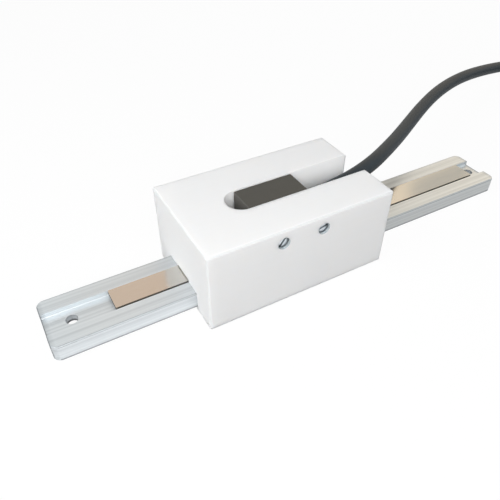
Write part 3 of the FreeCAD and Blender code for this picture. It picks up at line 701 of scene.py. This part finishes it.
# Painted shade low in the screw holes.
hole_foot_shade = 0.9 * drilled * (1.0 - spread(extruded, rail_z, 0.0042, 0.0051))
ends_and_painted_shade = rail_end_darkening.or_more(flange_foot_shadow + rail_top_edge_shade + hole_foot_shade)
extruded.feed("Base Color", between(extruded, ends_and_painted_shade, silver, colour(0.20, 0.205, 0.215)))
extruded.feed("Roughness", 0.34 + 0.14 * fine_lines + 0.10 * lines + 0.60 * ends_and_painted_shade)
raise_bump(extruded, 0.6 * fine_lines + 0.4 * lines, 0.000010, 0.7)
dress(extruded, "guide_rail")

# %% [markdown]
# The strip on top of the tape is thin rolled steel with a warm tone. It is smoother than
# the rail, so it mirrors the carriage softly. Rolling leaves faint long lines, and use
# leaves a few short scratches along the way that the carriage moves. Each scratch could be
# a cut in the mesh, but at this size a stretched noise with only its peaks kept is enough.

# %% Rolled steel strip
rolled = Finish("rolled_steel", {"Metallic": 1.0})
roll_lines = noise(rolled, stretched(rolled, 12.0, 2600.0, 2600.0), detail=3.0)
scratch = noise(rolled, stretched(rolled, 90.0, 4200.0, 4200.0), detail=1.0)
scratches = spread(rolled, scratch, 0.66, 0.74)
warm = between(rolled, roll_lines, colour(0.64, 0.62, 0.585), colour(0.68, 0.66, 0.615))
rolled.feed("Base Color", between(rolled, 0.35 * scratches, warm, colour(0.72, 0.70, 0.67)))
rolled.feed("Roughness", 0.12 + 0.06 * roll_lines + 0.06 * scratches)
raise_bump(rolled, roll_lines, 0.000004, 0.5)
dress(rolled, "cover_strip")

# %% [markdown]
# Below the strip the tape's layers show only as a dark line along its edge: a bonded rubber
# band, a steel carrier and two films of adhesive. One dark colour would do for the picture,
# but the layers are told apart close up. Each gets a simple finish, in which one noise mixes
# two colours and moves the roughness. Other small pieces need the same, so it is a function.

# %% Layers of the tape
def speckled(name, constants, dark, light, roughness, detail, scale=1.0, stretch=None, bump=None):
    """A finish from one noise: its colours, its roughness as base and range, and its bump."""
    finish = Finish(name, constants)
    places = stretched(finish, *stretch) if stretch else finish.places
    grains = noise(finish, places, scale=scale, detail=detail)
    finish.feed("Base Color", between(finish, grains, colour(*dark), colour(*light)))
    base, change = roughness
    finish.feed("Roughness", base + change * grains)
    if bump:
        raise_bump(finish, grains, *bump)
    return finish


rubber = speckled(
    "magnetic_rubber", {"Specular IOR Level": 0.3},
    dark=(0.022, 0.021, 0.020), light=(0.05, 0.047, 0.043),
    roughness=(0.55, 0.25), detail=3.0, scale=3500.0, bump=(0.00002, 0.5))
carrier = speckled(
    "carrier_steel", {"Metallic": 1.0},
    dark=(0.36, 0.35, 0.34), light=(0.52, 0.51, 0.50),
    roughness=(0.30, 0.20), detail=2.0, stretch=(15.0, 3000.0, 3000.0))
film = speckled(
    "adhesive_film", {"Specular IOR Level": 0.5},
    dark=(0.20, 0.18, 0.14), light=(0.32, 0.29, 0.23),
    roughness=(0.35, 0.30), detail=2.0, scale=900.0)
dress(rubber, "magnetic_band")
dress(carrier, "tape_carrier")
dress(film, "tape_adhesive", "cover_adhesive")

# %% [markdown]
# The sensor head is a moulded box in dark olive grey. Its mould was spark eroded, which
# leaves an even, very fine stipple with no direction. One noise alone would look like sand,
# so a fine one gives the stipple and a coarse one the slow changes of tone. Rubbing has made
# the high spots slightly lighter. The end that faces the closed end of the slot is painted
# paler than the top: painted light, because little light reaches it inside the slot.

# %% Stippled sensor housing
stippled = Finish("stippled_olive_plastic", {"Specular IOR Level": 0.35})
stipple = noise(stippled, stippled.places, scale=4200.0, detail=2.0)
mottle = noise(stippled, stippled.places, scale=260.0, detail=3.0)
olive = between(stippled, mottle, colour(0.058, 0.056, 0.049), colour(0.072, 0.069, 0.061))
painted_lit_olive = between(stippled, mottle, colour(0.092, 0.089, 0.079), colour(0.111, 0.107, 0.096))
# Painted light: the end that faces the slot's closed end is made paler, as if it were lit.
painted_end_light = spread(stippled, 0.0 - facing(stippled, "X"), 0.4, 0.9)
olive_and_end_light = between(stippled, painted_end_light, olive, painted_lit_olive)
rubbed = spread(stippled, stipple, 0.60, 0.75)
stippled.feed("Base Color", between(stippled, 0.25 * rubbed, olive_and_end_light, colour(0.14, 0.136, 0.122)))
stippled.feed("Roughness", 0.52 + 0.20 * stipple + 0.08 * mottle)
raise_bump(stippled, stipple, 0.00003, 0.5)
dress(stippled, "sensor_housing", "base_plate")

# %% [markdown]
# The set screws are zinc plated steel, turned on an automatic lathe and sunk a little below
# the face. A dark ring of painted shade lies round the rim of each end, where the hole shades
# it, while the middle of the end stays bright. A pattern round each screw's own axis would
# need two maps, so the coordinates are folded at the middle between the screws, and one
# distance then serves both.

# %% Turned screw steel
turned = Finish("turned_steel", {"Metallic": 1.0})
tool_marks = noise(turned, stretched(turned, 2600.0, 600.0, 2600.0), detail=3.0)
oil = noise(turned, turned.places, scale=420.0, detail=2.0)
off_x = off_pair(spot(turned, "X"), screws_middle.x, SCREW_OFFSET)
off_z = spot(turned, "Z") - screws_middle.z
squared = off_x * off_x + off_z * off_z
# Painted shade: a dark ring round the rim of each screw's end, where the hole shades it.
painted_rim_shade = spread(turned, squared, (0.50 * SCREW_RADIUS) ** 2, (0.92 * SCREW_RADIUS) ** 2)
zinc = between(turned, oil, colour(0.66, 0.71, 0.74), colour(0.80, 0.84, 0.87))
turned.feed("Base Color", between(turned, 0.92 * painted_rim_shade, zinc, colour(0.05, 0.055, 0.06)))
turned.feed("Roughness", 0.22 + 0.20 * tool_marks + 0.30 * painted_rim_shade)
raise_bump(turned, tool_marks, 0.00001, 0.6)
dress(turned, "sensor_set_screws")

# %% [markdown]
# The cable's sheath is dark blue grey polyurethane: matt, slightly waxy, with a fine grain
# and a faint dusty bloom. The seal and the sleeve round it are softer black rubber. A grain
# that runs along the lead would need its own map, but this one has no direction, so noise in
# Object coordinates is enough.

# %% Cable sheath and seals
def coat(finish, piece):
    """Give a piece that was modelled here its finish."""
    piece.data.materials.clear()
    piece.data.materials.append(finish.material)
    print(f"{finish.material.name} on {piece.name}")


sheath = Finish("waxy_sheath", {"Specular IOR Level": 0.3})
grain = noise(sheath, sheath.places, scale=2600.0, detail=3.0)
bloom = noise(sheath, sheath.places, scale=120.0, detail=4.0)
slate = between(sheath, bloom, colour(0.016, 0.023, 0.029), colour(0.025, 0.033, 0.040))
dusty = 0.30 * spread(sheath, grain, 0.5, 0.8)
sheath.feed("Base Color", between(sheath, dusty, slate, colour(0.055, 0.065, 0.072)))
sheath.feed("Roughness", 0.38 + 0.16 * grain + 0.10 * bloom)
raise_bump(sheath, grain, 0.00002, 0.5)
seal = speckled(
    "seal_rubber", {"Specular IOR Level": 0.3},
    dark=(0.016, 0.016, 0.017), light=(0.035, 0.035, 0.036),
    roughness=(0.60, 0.20), detail=2.0, scale=3800.0, bump=(0.00002, 0.5))
coat(sheath, cable)
dress(seal, "cable_seal", "strain_relief")

# %% [markdown]
# The tie is black nylon, shinier than the sheath. The connector's grip is glass filled
# plastic, its insert is a smooth moulding, its contacts are gold plated and its nut is nickel
# plated brass. Plating could be one even colour, but it shows as slow changes of tone with
# small dull specks, so the nut reads two noises.

# %% Strap and connector
nylon = speckled(
    "black_nylon", {"Specular IOR Level": 0.5},
    dark=(0.012, 0.012, 0.013), light=(0.026, 0.026, 0.027),
    roughness=(0.28, 0.18), detail=2.0, scale=700.0, bump=(0.00002, 0.3))
filled = speckled(
    "glass_filled_plastic", {"Specular IOR Level": 0.4},
    dark=(0.016, 0.016, 0.017), light=(0.034, 0.034, 0.035),
    roughness=(0.42, 0.22), detail=3.0, stretch=(3000.0, 900.0, 3000.0), bump=(0.00003, 0.4))
gold = speckled(
    "gold_plate", {"Metallic": 1.0},
    dark=(0.80, 0.58, 0.22), light=(0.90, 0.68, 0.30),
    roughness=(0.16, 0.16), detail=2.0, stretch=(4000.0, 500.0, 4000.0))
insert = speckled(
    "insert_plastic", {"Specular IOR Level": 0.5},
    dark=(0.018, 0.020, 0.022), light=(0.034, 0.036, 0.040),
    roughness=(0.30, 0.20), detail=2.0, scale=900.0)
coat(nylon, strap)
coat(filled, grip)
dress(gold, "contact_pins")
dress(insert, "contact_insert")

# %% Nickel plate of the nut
nickel = Finish("nickel_plate", {"Metallic": 1.0})
tone = noise(nickel, nickel.places, scale=260.0, detail=3.0)
specks = spread(nickel, noise(nickel, nickel.places, scale=2400.0, detail=2.0), 0.62, 0.75)
nickel.feed("Base Color", between(nickel, tone, colour(0.58, 0.56, 0.52), colour(0.69, 0.67, 0.62)))
nickel.feed("Roughness", 0.18 + 0.10 * tone + 0.20 * specks)
coat(nickel, nut)

# %% [markdown]
# The electronics are sealed inside the sensor head. They are finished all the same, for
# anyone who opens the model: a green laminate with its glass weave, black chips, sand
# coloured capacitors, cores in four colours and a dark casting resin. The weave could be
# modelled thread by thread, but two crossed waves are enough at this size.

# %% Board laminate
WEAVE = 260.0
laminate = Finish("board_laminate", {"Specular IOR Level": 0.5})
thread_sockets = {"Vector": laminate.places, "Scale": WEAVE}
warp = laminate.node("ShaderNodeTexWave", {"bands_direction": "X"}, thread_sockets)
weft = laminate.node("ShaderNodeTexWave", {"bands_direction": "Z"}, thread_sockets)
weave = warp * weft
greens = colour(0.010, 0.085, 0.030), colour(0.020, 0.130, 0.048)
laminate.feed("Base Color", between(laminate, weave, *greens))
laminate.feed("Roughness", 0.28 + 0.15 * weave)
dress(laminate, "circuit_board")

# %% Chips, capacitors and resin
epoxy = speckled(
    "chip_epoxy", {"Specular IOR Level": 0.4},
    dark=(0.014, 0.014, 0.015), light=(0.030, 0.030, 0.032),
    roughness=(0.50, 0.20), detail=2.0, scale=5000.0)
ceramic = speckled(
    "capacitor_ceramic", {"Specular IOR Level": 0.5},
    dark=(0.38, 0.28, 0.19), light=(0.46, 0.35, 0.25),
    roughness=(0.35, 0.20), detail=2.0, scale=2500.0)
resin = speckled(
    "casting_resin", {"Specular IOR Level": 0.5},
    dark=(0.020, 0.020, 0.022), light=(0.034, 0.033, 0.034),
    roughness=(0.15, 0.20), detail=3.0, scale=1200.0)
dress(epoxy, "sensing_chip", "interpolator_chip")
dress(ceramic, "board_capacitors")
dress(resin, "potting_compound")

# %% Core colours
core = Finish("core_insulation", {"Specular IOR Level": 0.4})
core_low, core_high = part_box("cable_cores")
core_middle = (core_low + core_high) / 2
far_side = spot(core, "Y") > core_middle.y
upper = spot(core, "Z") > core_middle.z
near_pair = between(core, upper, colour(0.16, 0.07, 0.03), colour(0.75, 0.75, 0.73))
far_pair = between(core, upper, colour(0.02, 0.05, 0.30), colour(0.02, 0.02, 0.02))
sheen = noise(core, core.places, scale=3000.0, detail=2.0)
core.feed("Base Color", between(core, far_side, near_pair, far_pair))
core.feed("Roughness", 0.35 + 0.20 * sheen)
dress(core, "cable_cores")

# %% [markdown]
# The set is a white table under a white sky. A floor that is only white and lit would need
# so much light that the white carriage would clip, so the camera sees it mostly as its own
# light. A share of real shading is kept, and with it the object's soft shadow. Bare metal
# mirrors the floor too: there it glows much less, or the rail's sides would vanish in it.
# For the light that bounces about, the floor is a dull grey, which lets the front of the
# carriage fall off towards its foot.

# %% Floor
TABLE_SIZE = 6.0
TABLE_LEVEL = -0.0001
GLOW_SEEN = 0.95
GLOW_IN_METAL = 0.40
bpy.ops.mesh.primitive_plane_add(size=TABLE_SIZE, location=(0.0, 0.0, TABLE_LEVEL))
floor = bpy.context.active_object
floor.name = "table"
table = Finish("white_table", {})
seen = table.node("ShaderNodeLightPath", output="Is Camera Ray")
through = table.node("ShaderNodeLightPath", output="Is Transmission Ray")
mirrored = table.node("ShaderNodeLightPath", output="Is Glossy Ray")
glow = table.node("ShaderNodeEmission", {}, {"Color": colour(1.0, 1.0, 1.0)})
white = table.node("ShaderNodeBsdfDiffuse", {}, {"Color": colour(0.97, 0.97, 0.97)})
dull = table.node("ShaderNodeBsdfDiffuse", {}, {"Color": colour(0.15, 0.15, 0.15)})
looked_at = table.node("ShaderNodeMixShader", {}, {0: GLOW_SEEN, 1: white, 2: glow})
in_metal = table.node("ShaderNodeMixShader", {}, {0: GLOW_IN_METAL, 1: white, 2: glow})
indirect = table.node("ShaderNodeMixShader", {}, {0: mirrored, 1: dull, 2: in_metal})
direct = seen.or_more(through)
both = table.node("ShaderNodeMixShader", {}, {0: direct, 1: indirect, 2: looked_at})
surface = table.tree.nodes["Material Output"].inputs["Surface"]
table.tree.links.new(both.socket, surface)
floor.data.materials.append(table.material)
print(f"table {TABLE_SIZE} m across")

# %% [markdown]
# The sky is the rest of the room. An even white one would light the object from all round
# and wash out its shape, so it gives little light. The camera still sees it as white, and
# bare metal mirrors it nearly as white.

# %% Sky
SKY_LEVEL = 0.10
SKY_IN_METAL = 0.92
sky = bpy.data.worlds.new("studio_sky")
bpy.context.scene.world = sky
sky.use_nodes = True
sky_tree = sky.node_tree
background = sky_tree.nodes["Background"]
background.inputs["Color"].default_value = colour(0.94, 0.985, 1.0)
path = sky_tree.nodes.new("ShaderNodeLightPath")
metal_level = sky_tree.nodes.new("ShaderNodeMapRange")
metal_level.inputs["To Min"].default_value = SKY_LEVEL
metal_level.inputs["To Max"].default_value = SKY_IN_METAL
sky_tree.links.new(path.outputs["Is Glossy Ray"], metal_level.inputs["Value"])
seen_level = sky_tree.nodes.new("ShaderNodeMath")
seen_level.operation = "MAXIMUM"
sky_tree.links.new(path.outputs["Is Camera Ray"], seen_level.inputs[0])
sky_tree.links.new(path.outputs["Is Transmission Ray"], seen_level.inputs[1])
level = sky_tree.nodes.new("ShaderNodeMath")
level.operation = "MAXIMUM"
sky_tree.links.new(seen_level.outputs[0], level.inputs[0])
sky_tree.links.new(metal_level.outputs[0], level.inputs[1])
sky_tree.links.new(level.outputs[0], background.inputs["Strength"])
print(f"sky gives {SKY_LEVEL} of white as fill light")

# %% [markdown]
# Four soft lamps light the set. The strongest stands near, in front and to the left, so the
# near left corner of the carriage is bright and the light falls off along its front. A second
# one stands at the left, a third high in front at the right, and a weak one behind fills the
# slot. One large lamp would be simpler, but it would light every side alike. None of them
# shows in mirrors, because their squares would lie on the rail as hard patches.

# %% Lamps
def soft_lamp(name, size, watts, place, aim):
    """A square lamp that lights the object, but that neither camera nor metal shows."""
    data = bpy.data.lights.new(name, "AREA")
    data.shape = "SQUARE"
    data.size = size
    data.energy = watts
    lamp = bpy.data.objects.new(name, data)
    bpy.context.scene.collection.objects.link(lamp)
    lamp.location = place
    throw = Vector(aim) - lamp.location
    lamp.rotation_euler = throw.to_track_quat("-Z", "Y").to_euler()
    lamp.visible_camera = False
    lamp.visible_glossy = False
    print(f"{name}: {watts} W, {throw.length:.2f} m away")


LOW_MIDDLE = (0.0, 0.0, 0.02)
soft_lamp("front_lamp", 0.30, 2.10, (-0.20, -0.42, 0.33), LOW_MIDDLE)
soft_lamp("high_lamp", 0.35, 0.85, (0.15, -0.45, 0.50), LOW_MIDDLE)
soft_lamp("left_lamp", 0.35, 1.70, (-0.45, -0.05, 0.30), (-0.03, 0.0, 0.02))
soft_lamp("back_lamp", 0.50, 0.80, (0.35, 0.42, 0.26), LOW_MIDDLE)

# %% [markdown]
# Bare metal shows what stands round it. The whole room could be built, but five glowing
# cards that only mirror surfaces see give the same tones: a bright window at the front left,
# a tan card and a cream one behind the rail, a grey strip before the cream one, and a grey
# card on the table at the right. That last card is painted shade: the rail's side mirrors it
# where the table would lie in shade.

# %% Cards
def mirror_card(name, place, aim, size, tone, strength=1.0, turn=0.0):
    """A glowing card that only mirror surfaces see."""
    bpy.ops.mesh.primitive_plane_add(size=1.0, location=place)
    card = bpy.context.active_object
    card.name = name
    towards = (Vector(aim) - Vector(place)).to_track_quat("Z", "Y")
    card.rotation_euler = (towards @ Quaternion((0.0, 0.0, 1.0), turn)).to_euler()
    card.scale = (*size, 1.0)
    finish = Finish(name, {})
    light = finish.node("ShaderNodeEmission", {}, {"Color": tone, "Strength": strength})
    output = finish.tree.nodes["Material Output"]
    finish.tree.links.new(light.socket, output.inputs["Surface"])
    card.data.materials.append(finish.material)
    card.visible_camera = False
    card.visible_diffuse = False
    card.visible_transmission = False
    card.visible_shadow = False
    print(f"{name} placed")


mirror_card("window_card", (-0.19, -0.23, 0.24), (-0.02, 0.0, 0.02), (0.25, 0.25),
            colour(1.0, 1.0, 1.0), strength=4.2)
mirror_card("tan_card", (-0.03, 0.165, 0.175), (-0.065, 0.0, 0.009), (0.14, 0.07),
            colour(0.86, 0.70, 0.58))
mirror_card("cream_card", (0.28, 0.191, 0.20), (0.06, 0.0, 0.009), (0.45, 0.35),
            colour(1.10, 0.96, 0.78))
mirror_card("grey_card", (0.3077, 0.1687, 0.1814), (0.0877, -0.0223, -0.0096), (0.070, 0.022),
            colour(0.48, 0.51, 0.51), turn=math.radians(-35.0))
# Painted shade: a grey card that the rail's side mirrors in place of shade on the table.
mirror_card("shade_card", (0.085, -0.036, 0.0003), (0.085, -0.036, 1.0), (0.11, 0.045),
            colour(0.60, 0.59, 0.57))

# %% [markdown]
# The colours are written as they should look, so the view transform is Standard.

# %% Finish
bpy.context.scene.view_settings.view_transform = "Standard"
bpy.context.view_layer.update()
